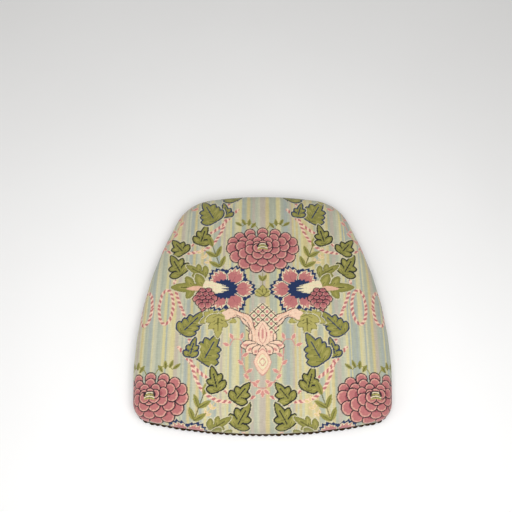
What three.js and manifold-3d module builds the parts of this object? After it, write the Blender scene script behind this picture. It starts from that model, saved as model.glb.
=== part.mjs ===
// Upholstered seat pad for a dining chair: a plywood board with foam, wadding and a tapestry
// cover pulled round its edge, trimmed with a strip of domed nail heads, and closed underneath
// with a cambric dust cover. Four T-nuts in the board take the screws that hold it to a chair.
// Millimetres, +Z up, the front faces -Y, and the origin is under the middle of the pad.
import * as THREE from 'three';
import { mergeVertices } from 'three/addons/utils/BufferGeometryUtils.js';
import Module from 'manifold-3d';

const wasm = await Module();
wasm.setup();

// ---------- driving dimensions ----------

// plan outline, at the widest line of the cover
const padWidth = 450;
const padDepth = 451;
const widestFromFront = 121;
const sideTaper = 58; // how much each side has moved in at the start of the rear corners
const taperFromBack = 62;
const frontRadius = 950;
const rearRadius = 620;
const frontCornerRadius = 35;
const rearCornerRadius = 80;

// side section of the cover, heights above the underside
const padHeight = 67;
const shoulderHeight = 52;
const shoulderInset = 24;
const widestHeight = 28;
const edgeTuck = 6; // how far the nailed edge stands in from the widest line
const hemWidth = 30;
const hemRoundness = 3;
const crownPower = 2.2;

// shape factors of the side section's curves
const shoulderSlope = 0.19; // fall per unit of inset where the crown meets the roll
const rollHandle = 0.58; // length of the roll's curve handles, as a share of its reach
const bulgeHandle = 0.4; // the same for the curve down to the nailed edge

// layers
const touchGap = 0.3;
const dustCoverThickness = 0.8;
const dustCoverInset = 10; // from the nailed edge of the cover
const coverThickness = 1.2;
const boardThickness = 12;
const waddingThickness = 4.5;
const foamCoreThickness = 27;

// T-nuts, M6 with four prongs
const boltFromFront = 85;
const boltFromBack = 85;
const boltFromSide = 72;
const tNutBoreRadius = 3;
const tNutBarrelRadius = 3.9;
const tNutBarrelLength = 9;
const tNutFlangeRadius = 9.5;
const tNutFlangeThickness = 1.5;
const tNutProngLength = 6;
const tNutProngWidth = 3;
const tNutProngThickness = 1.2;
const tNutProngCount = 4;
const screwHoleRadius = 5; // in the dust cover

// nail trim
const nailCount = 28; // nails that hold the strip
const domePitch = 11; // wanted distance between neighbouring domes
const nailHeadRadius = 5.2;
const nailHeadHeight = 3;
const nailShankRadius = 0.8;
const nailLength = 13;
const nailPointLength = 2.4;
const nailHoleRadius = 1.15;
const stripThickness = 1;
const stripWebWidth = 5.2;
const stripJointGap = 0.6;
const trimClearance = 1.7; // from the lower edge of the cover up to the domes

// how finely round shapes are divided
const frontSteps = 4;
const frontCornerSteps = 5;
const sideSteps = 6;
const rearCornerSteps = 5;
const rearSteps = 3;
const rollSteps = 4;
const bulgeSteps = 3;
const crownScales = [0.25, 0.5, 0.75];
const nailSides = 8;
const nailDomeSteps = 2;
const holeSides = 6;
const tNutSides = 16;

// ---------- heights and insets that follow ----------

const hemBottom = dustCoverThickness + touchGap;
const boardBottom = hemBottom + coverThickness + touchGap;
const boardTop = boardBottom + boardThickness;
const foamBottom = boardTop + touchGap;
const foamCoreTop = foamBottom + foamCoreThickness;
const boardInset = edgeTuck + coverThickness + touchGap;
const tNutTop = boardTop - touchGap;
const waddingOffset = coverThickness + touchGap;
const foamOffset = waddingOffset + waddingThickness + touchGap;
const nailHeight = hemBottom + trimClearance + nailHeadRadius;
const nailedEdgeTop = nailHeight + nailHeadRadius;
const stripBackInset = edgeTuck - touchGap;
const stripFaceInset = stripBackInset - stripThickness;

// ---------- materials ----------

function material(color, roughness, metalness) {
  return new THREE.MeshStandardMaterial({ color, roughness, metalness });
}

const tapestry = material(0xb3a591, 0.92, 0);
const cambric = material(0x1b1b1c, 0.95, 0);
const plywood = material(0xc9a877, 0.8, 0);
const foam = material(0xe9d9a3, 0.95, 0);
const softFoam = material(0xefe6cf, 0.95, 0);
const wadding = material(0xf1efea, 0.98, 0);
const zincSteel = material(0xb9bcc0, 0.35, 1);
const agedBronze = material(0x3b2a1c, 0.42, 1);

// ---------- plan outline: tangent arcs ----------

const widestY = widestFromFront - padDepth / 2;
const taperY = padDepth / 2 - taperFromBack;
const sideRun = taperY - widestY;
const sideRadius = (sideTaper ** 2 + sideRun ** 2) / (2 * sideTaper);

const frontCircle = { x: 0, y: frontRadius - padDepth / 2, r: frontRadius };
const rearCircle = { x: 0, y: padDepth / 2 - rearRadius, r: rearRadius };
const sideCircle = { x: padWidth / 2 - sideRadius, y: widestY, r: sideRadius };

// The circle of radius r that touches two larger circles from inside, on the +X side and
// towards the front (end = -1) or the rear (end = +1).
function cornerCircle(one, other, r, end) {
  const span = Math.hypot(other.x - one.x, other.y - one.y);
  const reachOne = one.r - r;
  const reachOther = other.r - r;
  const along = (reachOne ** 2 - reachOther ** 2 + span ** 2) / (2 * span);
  const across = Math.sqrt(reachOne ** 2 - along ** 2);
  const ux = (other.x - one.x) / span;
  const uy = (other.y - one.y) / span;
  const found = [1, -1].map((side) => ({
    x: one.x + along * ux - side * across * uy,
    y: one.y + along * uy + side * across * ux,
    r,
  }));
  found.sort((a, b) => end * (b.y - a.y));
  return found[0];
}

function angleFrom(circle, point) {
  return Math.atan2(point.y - circle.y, point.x - circle.x);
}

function rightHalfArcs() {
  const front = cornerCircle(frontCircle, sideCircle, frontCornerRadius, -1);
  const rear = cornerCircle(sideCircle, rearCircle, rearCornerRadius, 1);
  const frontTurn = angleFrom(frontCircle, front);
  const sideStart = angleFrom(sideCircle, front);
  const sideEnd = angleFrom(sideCircle, rear);
  const rearTurn = angleFrom(rearCircle, rear);
  return [
    { circle: frontCircle, from: -Math.PI / 2, to: frontTurn, steps: frontSteps },
    { circle: front, from: frontTurn, to: sideStart, steps: frontCornerSteps },
    { circle: sideCircle, from: sideStart, to: sideEnd, steps: sideSteps },
    { circle: rear, from: sideEnd, to: rearTurn, steps: rearCornerSteps },
    { circle: rearCircle, from: rearTurn, to: Math.PI / 2, steps: rearSteps },
  ];
}

function mirrored(arc) {
  const circle = { x: -arc.circle.x, y: arc.circle.y, r: arc.circle.r };
  return { circle, from: Math.PI - arc.to, to: Math.PI - arc.from, steps: arc.steps };
}

// Anticlockwise from the middle of the front edge.
const rightArcs = rightHalfArcs();
const outlineArcs = [...rightArcs, ...rightArcs.map(mirrored).reverse()];

function arcPoint(arc, angle, inset) {
  const r = arc.circle.r - inset;
  return new THREE.Vector2(arc.circle.x + r * Math.cos(angle), arc.circle.y + r * Math.sin(angle));
}

// One ring of the outline, moved in by inset, at height z.
function ring(inset, z) {
  const points = [];
  for (const arc of outlineArcs) {
    for (let i = 0; i < arc.steps; i += 1) {
      const angle = arc.from + ((arc.to - arc.from) * i) / arc.steps;
      const p = arcPoint(arc, angle, inset);
      points.push(new THREE.Vector3(p.x, p.y, z));
    }
  }
  return points;
}

// Length of the outline moved in by inset.
function outlineLength(inset) {
  return outlineArcs.reduce((sum, arc) => sum + (arc.to - arc.from) * (arc.circle.r - inset), 0);
}

// Point and outward direction at a distance along the inset outline, from the middle of the rear.
function outlineAt(inset, distance) {
  const total = outlineLength(inset);
  let left = (distance + total / 2) % total;
  let found = 0;
  const lengthOf = (arc) => (arc.to - arc.from) * (arc.circle.r - inset);
  while (found + 1 < outlineArcs.length && left > lengthOf(outlineArcs[found])) {
    left -= lengthOf(outlineArcs[found]);
    found += 1;
  }
  const arc = outlineArcs[found];
  const angle = arc.from + left / (arc.circle.r - inset);
  const outward = new THREE.Vector2(Math.cos(angle), Math.sin(angle));
  return { point: arcPoint(arc, angle, inset), outward };
}

function sideHalfWidth(y) {
  return sideCircle.x + Math.sqrt(sideCircle.r ** 2 - (y - sideCircle.y) ** 2);
}

// ---------- side section: x is the inset, y is the height ----------

// From the shoulder down over the bulge to the top of the nailed edge.
function sideProfile() {
  const reachIn = rollHandle * shoulderInset;
  const reachUp = rollHandle * (shoulderHeight - widestHeight);
  const roll = new THREE.CubicBezierCurve(
    new THREE.Vector2(shoulderInset, shoulderHeight),
    new THREE.Vector2(shoulderInset - reachIn, shoulderHeight - shoulderSlope * reachIn),
    new THREE.Vector2(0, widestHeight + reachUp),
    new THREE.Vector2(0, widestHeight),
  );
  const reachDown = bulgeHandle * (widestHeight - nailedEdgeTop);
  const bulge = new THREE.CubicBezierCurve(
    new THREE.Vector2(0, widestHeight),
    new THREE.Vector2(0, widestHeight - reachDown),
    new THREE.Vector2(edgeTuck, nailedEdgeTop + reachDown),
    new THREE.Vector2(edgeTuck, nailedEdgeTop),
  );
  return [...roll.getPoints(rollSteps), ...bulge.getPoints(bulgeSteps).slice(1)];
}

// From the nailed edge round the bottom corner and in to the raw edge of the hem.
function hemProfile() {
  const corner = new THREE.QuadraticBezierCurve(
    new THREE.Vector2(edgeTuck, hemBottom + hemRoundness),
    new THREE.Vector2(edgeTuck, hemBottom),
    new THREE.Vector2(edgeTuck + hemRoundness, hemBottom),
  );
  return [...corner.getPoints(2), new THREE.Vector2(edgeTuck + hemWidth, hemBottom)];
}

// Moves a section towards the inside of the pad. The section runs from the shoulder downwards.
function offsetProfile(points, distance) {
  return points.map((p, i) => {
    const before = points[Math.max(i - 1, 0)];
    const after = points[Math.min(i + 1, points.length - 1)];
    const into = p.clone().sub(before).normalize();
    const out = after.clone().sub(p).normalize();
    const along = into.add(out).normalize();
    const inward = new THREE.Vector2(-along.y, along.x);
    const cosine = Math.abs(out.x * along.x + out.y * along.y) || 1;
    return p.clone().addScaledVector(inward, distance / cosine);
  });
}

// The part of a falling section between two heights, with its ends cut level.
function between(points, low, high) {
  const kept = [];
  const cut = (a, b, z) => a.clone().lerp(b, (z - a.y) / (b.y - a.y));
  points.forEach((p, i) => {
    const next = points[i + 1];
    if (p.y <= high && p.y >= low) kept.push(p);
    if (!next) return;
    if (p.y > high && next.y < high) kept.push(cut(p, next, high));
    if (p.y > low && next.y < low) kept.push(cut(p, next, low));
  });
  return kept;
}

// ---------- solids from rings ----------

// A closed body from a chain of rings that starts and ends with a cap. The chain runs outwards
// on an upper surface, and the rings run anticlockwise seen from above. A cap is flat unless a
// height is given for its middle.
function loft(rings, firstHeight = rings[0][0].z, lastHeight = rings.at(-1)[0].z) {
  const count = rings[0].length;
  const vertices = rings.flat();
  const middles = [firstHeight, lastHeight].map((z) => new THREE.Vector3(0, 0, z));
  const index = [];
  for (let r = 0; r + 1 < rings.length; r += 1) {
    for (let k = 0; k < count; k += 1) {
      const a = r * count + k;
      const b = r * count + ((k + 1) % count);
      index.push(a, a + count, b + count, a, b + count, b);
    }
  }
  const lastRing = (rings.length - 1) * count;
  for (let k = 0; k < count; k += 1) {
    const next = (k + 1) % count;
    index.push(vertices.length, k, next);
    index.push(vertices.length + 1, lastRing + next, lastRing + k);
  }
  return indexedGeometry([...vertices, ...middles], index);
}

function indexedGeometry(vertices, index) {
  const geometry = new THREE.BufferGeometry();
  const flat = vertices.flatMap((v) => [v.x, v.y, v.z]);
  geometry.setAttribute('position', new THREE.Float32BufferAttribute(flat, 3));
  geometry.setIndex(index);
  return geometry;
}

// Rings over the crown, from near the middle outwards. apex is the height at the middle.
function crownRings(shoulder, apex) {
  const edge = ring(shoulder.x, shoulder.y);
  return crownScales.map((s) => edge.map((p) => {
    const z = shoulder.y + (apex - shoulder.y) * (1 - s ** crownPower);
    return new THREE.Vector3(s * p.x, s * p.y, z);
  }));
}

// A surface that lies a distance inside the outer face of the cover: the height of its apex,
// its rings over the crown, and its section from the shoulder down.
function layer(distance) {
  const profile = offsetProfile([...sideProfile(), ...hemProfile()], distance);
  const apex = padHeight - distance;
  return { apex, crown: crownRings(profile[0], apex), profile };
}

function ringsOf(profile) {
  return profile.map((p) => ring(p.x, p.y));
}

// ---------- booleans ----------

function toSolid(geometry) {
  const bare = geometry.clone();
  bare.deleteAttribute('normal');
  bare.deleteAttribute('uv');
  const merged = mergeVertices(bare, 1e-4);
  return new wasm.Manifold(new wasm.Mesh({
    numProp: 3,
    vertProperties: new Float32Array(merged.attributes.position.array),
    triVerts: new Uint32Array(merged.index.array),
  }));
}

function toGeometry(solid) {
  const mesh = solid.getMesh();
  const geometry = new THREE.BufferGeometry();
  geometry.setAttribute('position', new THREE.Float32BufferAttribute(mesh.vertProperties, 3));
  geometry.setIndex(Array.from(mesh.triVerts));
  return geometry;
}

function joined(solids) {
  return solids.reduce((sum, next) => sum.add(next));
}

// A cylinder along Z between two heights.
function upright(radius, low, high, sides, x, y) {
  const geometry = new THREE.CylinderGeometry(radius, radius, high - low, sides);
  geometry.rotateX(Math.PI / 2);
  geometry.translate(x, y, (low + high) / 2);
  return toSolid(geometry);
}

// ---------- nails: where they stand ----------

const trimLength = outlineLength(stripFaceInset);
const domesPerBay = Math.max(2, Math.round(trimLength / nailCount / domePitch));
const domeCount = nailCount * domesPerBay;
const firstNail = Math.floor((domesPerBay - 1) / 2);

function isNail(dome) {
  return dome % domesPerBay === firstNail;
}

// The frame of a nail: at its seat on the strip, with its own +Z pointing out of the pad.
function nailPlace(nail) {
  const dome = nail * domesPerBay + firstNail;
  const seat = outlineAt(stripFaceInset, ((dome + 0.5) / domeCount) * trimLength);
  const outward = new THREE.Vector3(seat.outward.x, seat.outward.y, 0);
  const position = new THREE.Vector3(seat.point.x, seat.point.y, nailHeight);
  position.addScaledVector(outward, touchGap);
  const turn = new THREE.Quaternion().setFromUnitVectors(new THREE.Vector3(0, 0, 1), outward);
  return { position, turn };
}

// Clearance holes for the nail shanks, as one solid.
function nailHoles() {
  const holes = [];
  for (let nail = 0; nail < nailCount; nail += 1) {
    const { position, turn } = nailPlace(nail);
    const geometry = new THREE.CylinderGeometry(
      nailHoleRadius, nailHoleRadius, nailLength + 2 * touchGap, holeSides);
    geometry.rotateX(Math.PI / 2);
    geometry.translate(0, 0, -nailLength / 2);
    geometry.applyQuaternion(turn);
    geometry.translate(position.x, position.y, position.z);
    holes.push(toSolid(geometry));
  }
  return joined(holes);
}

const shankHoles = nailHoles();

// ---------- sub-parts ----------

function boltPlaces() {
  const frontY = boltFromFront - padDepth / 2;
  const rearY = padDepth / 2 - boltFromBack;
  const frontX = sideHalfWidth(frontY) - boltFromSide;
  const rearX = sideHalfWidth(rearY) - boltFromSide;
  return [
    { name: 't_nut_front_left', x: -frontX, y: frontY },
    { name: 't_nut_front_right', x: frontX, y: frontY },
    { name: 't_nut_rear_left', x: -rearX, y: rearY },
    { name: 't_nut_rear_right', x: rearX, y: rearY },
  ];
}

const bolts = boltPlaces();

function dustCover() {
  const inset = edgeTuck + dustCoverInset;
  const sheet = toSolid(loft([ring(inset, dustCoverThickness), ring(inset, 0)]));
  const holes = bolts.map(({ x, y }) =>
    upright(screwHoleRadius, -1, dustCoverThickness + 1, tNutSides, x, y));
  return toGeometry(sheet.subtract(joined(holes)));
}

function cover() {
  const outer = layer(0);
  const inner = layer(coverThickness);
  const hemEdge = new THREE.Vector2(edgeTuck + hemWidth, hemBottom + coverThickness);
  inner.profile[inner.profile.length - 1] = hemEdge;
  const outside = [...outer.crown, ...ringsOf(outer.profile)];
  const inside = [...inner.crown, ...ringsOf(inner.profile)].reverse();
  const shell = loft([...outside, ...inside], outer.apex, inner.apex);
  return toGeometry(toSolid(shell).subtract(shankHoles));
}

function waddingShell() {
  const outer = layer(waddingOffset);
  const inner = layer(waddingOffset + waddingThickness);
  const ringsDown = ({ crown, profile }) =>
    [...crown, ...ringsOf(between(profile, foamBottom, shoulderHeight))];
  const rings = [...ringsDown(outer), ...ringsDown(inner).reverse()];
  return loft(rings, outer.apex, inner.apex);
}

function crownFoam() {
  const { apex, crown, profile } = layer(foamOffset);
  const side = between(profile, foamCoreTop + touchGap, shoulderHeight);
  return loft([...crown, ...ringsOf(side)], apex);
}

function foamCore() {
  const { profile } = layer(foamOffset);
  return loft(ringsOf(between(profile, foamBottom, foamCoreTop)));
}

// The flat prongs bent down from the rim of a T-nut's flange, grown by clearance.
function tNutProngs(clearance, x, y) {
  const rim = tNutFlangeRadius * Math.cos(Math.PI / tNutSides);
  const high = tNutTop - tNutFlangeThickness / 2;
  const low = tNutTop - tNutFlangeThickness - tNutProngLength - clearance;
  const prongs = [];
  for (let i = 0; i < tNutProngCount; i += 1) {
    const geometry = new THREE.BoxGeometry(
      tNutProngThickness + 2 * clearance,
      tNutProngWidth + 2 * clearance,
      high - low,
    );
    geometry.translate(rim - tNutProngThickness / 2, 0, (low + high) / 2);
    geometry.rotateZ((i + 0.5) * (2 * Math.PI / tNutProngCount));
    geometry.translate(x, y, 0);
    prongs.push(toSolid(geometry));
  }
  return joined(prongs);
}

function tNut(x, y) {
  const flangeBottom = tNutTop - tNutFlangeThickness;
  const barrelBottom = tNutTop - tNutBarrelLength;
  const profile = [
    [tNutBoreRadius, tNutTop],
    [tNutBoreRadius, barrelBottom],
    [tNutBarrelRadius, barrelBottom],
    [tNutBarrelRadius, flangeBottom],
    [tNutFlangeRadius, flangeBottom],
    [tNutFlangeRadius, tNutTop],
    [tNutBoreRadius, tNutTop],
  ].map(([r, z]) => new THREE.Vector2(r, z));
  const turned = new THREE.LatheGeometry(profile, tNutSides);
  turned.rotateX(Math.PI / 2);
  turned.rotateZ(Math.PI / tNutSides);
  turned.translate(x, y, 0);
  return toGeometry(toSolid(turned).add(tNutProngs(0, x, y)));
}

function baseBoard() {
  const chamfer = hemRoundness - coverThickness;
  const board = toSolid(loft([
    ring(boardInset, boardTop),
    ring(boardInset, boardBottom + chamfer),
    ring(boardInset + chamfer, boardBottom),
  ]));
  const flangeSeat = tNutTop - tNutFlangeThickness - touchGap;
  const pockets = bolts.map(({ x, y }) => joined([
    upright(tNutBarrelRadius + touchGap, boardBottom - 1, boardTop + 1, tNutSides, x, y),
    upright(tNutFlangeRadius + touchGap, flangeSeat, boardTop + 1, tNutSides, x, y),
    tNutProngs(touchGap, x, y),
  ]));
  return toGeometry(board.subtract(joined(pockets)).subtract(shankHoles));
}

// One closed band whose front face rises to a dome at each dome place, apart from the places
// of the real nails. It is cut through at the middle of the rear edge.
function nailStrip() {
  const columns = [];
  const halfPitch = trimLength / domeCount / 2;
  for (let half = 0; half <= 2 * domeCount; half += 1) {
    const atDome = half % 2 === 1 && !isNail((half - 1) / 2);
    const distance = THREE.MathUtils.clamp(
      half * halfPitch, stripJointGap / 2, trimLength - stripJointGap / 2);
    const reach = atDome ? nailHeadRadius : stripWebWidth / 2;
    const rise = atDome ? nailHeadHeight : 0;
    columns.push(stripColumn(distance, reach, rise));
  }
  return toGeometry(toSolid(stripFrom(columns)).subtract(shankHoles));
}

// Five points across the strip: back low, face low, face middle, face high, back high.
function stripColumn(distance, reach, rise) {
  const { point, outward } = outlineAt(stripFaceInset, distance);
  const place = (out, z) =>
    new THREE.Vector3(point.x + out * outward.x, point.y + out * outward.y, z);
  return [
    place(-stripThickness, nailHeight - reach),
    place(0, nailHeight - reach),
    place(rise, nailHeight),
    place(0, nailHeight + reach),
    place(-stripThickness, nailHeight + reach),
  ];
}

function stripFrom(columns) {
  const across = columns[0].length;
  const index = [];
  for (let c = 0; c + 1 < columns.length; c += 1) {
    for (let k = 0; k < across; k += 1) {
      const a = c * across + k;
      const b = c * across + ((k + 1) % across);
      index.push(a, a + across, b + across, a, b + across, b);
    }
  }
  const end = (columns.length - 1) * across;
  for (let k = 1; k + 1 < across; k += 1) {
    index.push(0, k, k + 1);
    index.push(end, end + k + 1, end + k);
  }
  return indexedGeometry(columns.flat(), index);
}

// A domed nail along its own Z, with its seat at the origin.
function nail() {
  const profile = [
    new THREE.Vector2(0, -nailLength),
    new THREE.Vector2(nailShankRadius, nailPointLength - nailLength),
    new THREE.Vector2(nailShankRadius, 0),
  ];
  for (let i = 0; i <= nailDomeSteps; i += 1) {
    const angle = (i / nailDomeSteps) * (Math.PI / 2);
    const r = nailHeadRadius * Math.cos(angle);
    profile.push(new THREE.Vector2(i === nailDomeSteps ? 0 : r, nailHeadHeight * Math.sin(angle)));
  }
  const geometry = new THREE.LatheGeometry(profile, nailSides);
  geometry.rotateX(Math.PI / 2);
  return geometry;
}

// ---------- assembly ----------

const pad = new THREE.Group();

function addMesh(name, geometry, look) {
  const mesh = new THREE.Mesh(geometry, look);
  mesh.name = name;
  pad.add(mesh);
  return mesh;
}

addMesh('dust_cover', dustCover(), cambric);
addMesh('base_board', baseBoard(), plywood);
addMesh('foam_core', foamCore(), foam);
addMesh('crown_foam', crownFoam(), softFoam);
addMesh('wadding', waddingShell(), wadding);
addMesh('cover', cover(), tapestry);
addMesh('nail_strip', nailStrip(), agedBronze);

for (const { name, x, y } of bolts) {
  addMesh(name, tNut(x, y), zincSteel);
}

for (let i = 0; i < nailCount; i += 1) {
  const mesh = addMesh(`nail_${String(i + 1).padStart(2, '0')}`, nail(), agedBronze);
  const { position, turn } = nailPlace(i);
  mesh.position.copy(position);
  mesh.quaternion.copy(turn);
}

export default pad;
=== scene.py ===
import math

import bmesh
import bpy
import numpy as np
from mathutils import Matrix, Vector
from mathutils.bvhtree import BVHTree


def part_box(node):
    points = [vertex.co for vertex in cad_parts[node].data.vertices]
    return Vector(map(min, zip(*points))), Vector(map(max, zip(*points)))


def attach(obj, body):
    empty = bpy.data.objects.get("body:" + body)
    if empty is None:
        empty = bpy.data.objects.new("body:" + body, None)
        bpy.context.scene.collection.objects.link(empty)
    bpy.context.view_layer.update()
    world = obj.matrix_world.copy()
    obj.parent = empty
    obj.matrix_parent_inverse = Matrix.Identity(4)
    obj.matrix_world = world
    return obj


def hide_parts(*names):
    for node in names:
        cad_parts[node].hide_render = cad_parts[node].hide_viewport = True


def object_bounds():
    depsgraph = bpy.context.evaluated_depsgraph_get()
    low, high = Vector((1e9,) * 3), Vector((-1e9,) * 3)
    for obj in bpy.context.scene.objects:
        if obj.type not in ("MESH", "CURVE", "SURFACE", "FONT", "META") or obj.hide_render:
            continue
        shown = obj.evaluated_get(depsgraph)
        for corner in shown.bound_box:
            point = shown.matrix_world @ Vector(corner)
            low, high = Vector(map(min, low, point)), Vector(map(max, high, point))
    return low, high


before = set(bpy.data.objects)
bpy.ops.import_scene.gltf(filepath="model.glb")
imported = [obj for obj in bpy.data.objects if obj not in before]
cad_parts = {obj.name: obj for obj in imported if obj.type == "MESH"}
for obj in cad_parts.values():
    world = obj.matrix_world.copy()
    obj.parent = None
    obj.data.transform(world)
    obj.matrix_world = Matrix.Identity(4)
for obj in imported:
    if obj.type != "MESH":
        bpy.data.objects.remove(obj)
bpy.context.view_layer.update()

# ------------------------------------------------------------------ sizes, in metres
MM = 0.001
WIDEST_AT = 28 * MM       # height at which the cover is widest
SHOULDER = 22 * MM        # how far in from the edge the cover's side begins
SIDE_CENTRE = 26 * MM     # height of the point that the side's rows fan out from
SIDE_ROWS = 19            # rows of cloth from the shoulder to the fold of the hem
HEM_INSETS = (25.5 * MM, 29 * MM)
GRID_ACROSS = 90          # cloth quads from side to side
GRID_BACK = 98            # cloth quads from front to back
SLACK = 0.8 * MM          # how much smaller the cloth starts than it ends
PRESSURE = 0.5            # of the filling against the cloth, in the simulation's units
MAX_SWELL = 3 * MM        # how far the simulation may move the cloth
MAX_SINK = 0.2 * MM       # how far it may go inwards, where the filling is
REAL_NAILS = 28
HEADS_PER_NAIL = 5        # the strip's heads, the real one among them, from one nail to the next
NAIL_TOP = 13 * MM        # height of the top of the nail heads
PULL = 0.45 * MM          # how far a nail draws in the cloth above it
GATHER = 0.55 * MM        # height of the gathers in the hem at the corners
GATHER_BEND = 12          # how sharply the edge turns, in 1/m, where they are full
HEAD_RADIUS = 5.3 * MM
CAD_HEAD_HEIGHT = 3.1 * MM
HEAD_HEIGHT = 4.4 * MM    # fuller domes than the CAD's, as the photograph's trim stands out
RIBBON_RISE = 2.0 * MM    # how far the ribbon between the heads stands out
RIBBON_HALF = 4.7 * MM    # half its width
STAPLE_CROWN = 10 * MM
STAPLE_WIRE = 0.9 * MM
STAPLE_PITCH = 34 * MM
HEM_TOP = 3 * MM          # the cloth below this height is hem
SLACK_FROM = 14 * MM      # the cloth above this height starts smaller
SETTLE_FRAMES = 20        # length of the cover's simulation
DUST_ACROSS = 60          # the dust cloth's quads from side to side
DUST_BACK = 64            # and from front to back
TURNED_EDGE = (           # how far in from the dust cloth's edge each row lies, and its height
    (8.2 * MM, 0.55 * MM),
    (7.9 * MM, 0.14 * MM),
    (4 * MM, 0.08 * MM),
    (1 * MM, 0.12 * MM),
    (0, 0.3 * MM),
    (0.5 * MM, 0.62 * MM),
)
RIBBON_SECTION = (        # shares of the ribbon's rise and of half its width
    (-0.1, -1.0),
    (0.7, -0.9),
    (1.0, 0.0),
    (0.7, 0.9),
    (-0.1, 1.0),
)
SCREW_HOLE = 5 * MM       # radius of the dust cloth's holes
CAMBRIC_GRID = 1.4 * MM   # pitch of the dust cloth's pressed grid
PLY = 1.35 * MM           # thickness of one layer of the board
THREAD = 1.15             # pitch of the cloth's ribs, in cloth millimetres
STITCH = 2.3              # pitch of the stitches in the figured parts, in cloth millimetres

# ------------------------------------------------------------------ camera and light
CAMERA_RISE = 66          # degrees above the horizon
CAMERA_AWAY = 1.2
CAMERA_TARGET = (0, 0.0982, 0.035)
CAMERA_SHIFT = -0.0129
LENS = 45.25
SENSOR = 36
FLOOR_HALF = 6.0
STUDIO_COLOR = (1.0, 0.99, 0.97, 1.0)
STUDIO_LIGHT = 0.48
LAMPS = (                 # name, place, power in watts, width
    ("key", (0.08, -0.42, 1.0), 7.8, 0.6),
    ("fill", (-1.0, -0.4, 1.1), 3.0, 1.0),
    ("back", (0.1, 1.3, 1.3), 0.5, 1.2),
)

# ------------------------------------------------------------------ yarn colours, sRGB
ROSE = (0.695, 0.425, 0.425)
ROSE_DEEP = (0.590, 0.315, 0.340)
ROSE_SOFT = (0.775, 0.530, 0.500)
PEACH = (0.845, 0.670, 0.575)
PETAL_RIM = (0.835, 0.640, 0.575)
BLUSH = (0.895, 0.770, 0.675)
CREAM = (0.870, 0.825, 0.690)
PALE_GOLD = (0.815, 0.735, 0.520)
HALO = (0.790, 0.765, 0.640)
PLUM = (0.180, 0.105, 0.150)
NAVY = (0.085, 0.165, 0.330)
INK = (0.070, 0.090, 0.120)
OLIVE = (0.520, 0.510, 0.245)
OLIVE_DEEP = (0.340, 0.335, 0.150)
OLIVE_LIGHT = (0.650, 0.620, 0.350)
STRIPES = (
    (0.680, 0.695, 0.620),
    (0.800, 0.760, 0.560),
    (0.620, 0.650, 0.630),
    (0.780, 0.755, 0.610),
    (0.705, 0.665, 0.610),
    (0.740, 0.735, 0.640),
    (0.770, 0.715, 0.520),
    (0.645, 0.665, 0.600),
)

# ------------------------------------------------------------------ layout, in cloth millimetres
# The design follows the photographed fabric's: many of its places were measured there, then
# rounded or put as a formula.
HALF_DROP = (190.0, 270.0)  # the design repeats at this step across with this step along
FIRST_AXIS = 0.0            # where the middle axis of the design lies on the seat
FIRST_PEONY = 105.0         # how far back its top flower lies
FLOWER = (60.0, -85.0)      # the middle of a ragged flower, from the middle of the peony
FLOWER_REACH = 44.0         # how long its petals are
RING_CENTRE = (0.0, -100.0)  # the oval that the wavy cord and the leaves follow round the design
RING_SIZE = (150.0, 190.0)
RING_WAVE = 0.09            # how far the cord swings to each side of the oval, as a share of it
WAIST = -180.0              # where the stand is narrowest
TRELLIS_TOP = -112.0
TRELLIS_FOOT = -166.0
TRELLIS_HALF = 24.0
TRELLIS_PITCH = 15.0
FLARE = -182.0              # where the stand's petals spring from
MEDALLION_Y = -216.0
MEDALLION_SIZE = (15.0, 23.0)
CELL = (-25.0, 215.0, -345.0, 145.0)  # what one half of a repeat covers: x from and to, y from and to


class Weave:
    """Points of the cloth in cloth millimetres, with the yarn colour that shows at each."""

    def __init__(self, u, v):
        self.u = u
        self.v = v
        self.color = ground(u)
        self.raised = np.zeros(len(u))

    def enter(self, centre, side):
        """Goes to one half of a repeat: x runs outwards from its axis, y runs to the back."""
        x = side * (self.u - centre[0])
        y = self.v - centre[1]
        left, right, front, back = CELL
        self.here = np.nonzero((x > left) & (x < right) & (y > front) & (y < back))[0]
        self.x = x[self.here]
        self.y = y[self.here]

    def near(self, x0, y0, reach):
        return np.nonzero((np.abs(self.x - x0) < reach) & (np.abs(self.y - y0) < reach))[0]

    def paint(self, part, mask, color, raised=1.0):
        rows = self.here[part[mask]]
        self.color[rows] = color
        self.raised[rows] = raised


def ground(u):
    """Lengthwise stripes of changing width, their edges a little blurred."""
    rng = np.random.default_rng(7)
    count = 110
    widths = rng.uniform(1.8, 7.5, count)
    order = rng.integers(0, len(STRIPES), count)
    for i in range(1, count):
        if order[i] == order[i - 1]:
            order[i] = (order[i] + 1) % len(STRIPES)
    edges = np.cumsum(widths)
    middles = edges - widths / 2
    palette = np.array(STRIPES)[order]
    place = np.mod(u, edges[-1])
    flat = palette[np.searchsorted(edges, place)]
    soft = np.stack([np.interp(place, middles, palette[:, i]) for i in range(3)], 1)
    return 0.5 * flat + 0.5 * soft


def around(centre, reach, degrees):
    """The point at that distance and in that direction from a centre."""
    angle = np.radians(degrees)
    return centre[0] + reach * np.cos(angle), centre[1] + reach * np.sin(angle)


def on_ring(degrees, scale=1.0):
    angle = np.radians(degrees)
    return (RING_CENTRE[0] + scale * RING_SIZE[0] * np.cos(angle),
            RING_CENTRE[1] + scale * RING_SIZE[1] * np.sin(angle))


def turned(x, y, angle):
    c, s = np.cos(angle), np.sin(angle)
    return c * x + s * y, c * y - s * x


def along_axis(w, part, base, tip):
    """Distances along and across the line from base to tip, and its length."""
    dx, dy = tip[0] - base[0], tip[1] - base[1]
    a, b = turned(w.x[part] - base[0], w.y[part] - base[1], np.arctan2(dy, dx))
    return a, b, np.hypot(dx, dy)


def zigzag(value, pitch):
    """A triangle wave from 0 to 1."""
    return 2 * np.abs(np.mod(value / pitch, 1) - 0.5)


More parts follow.
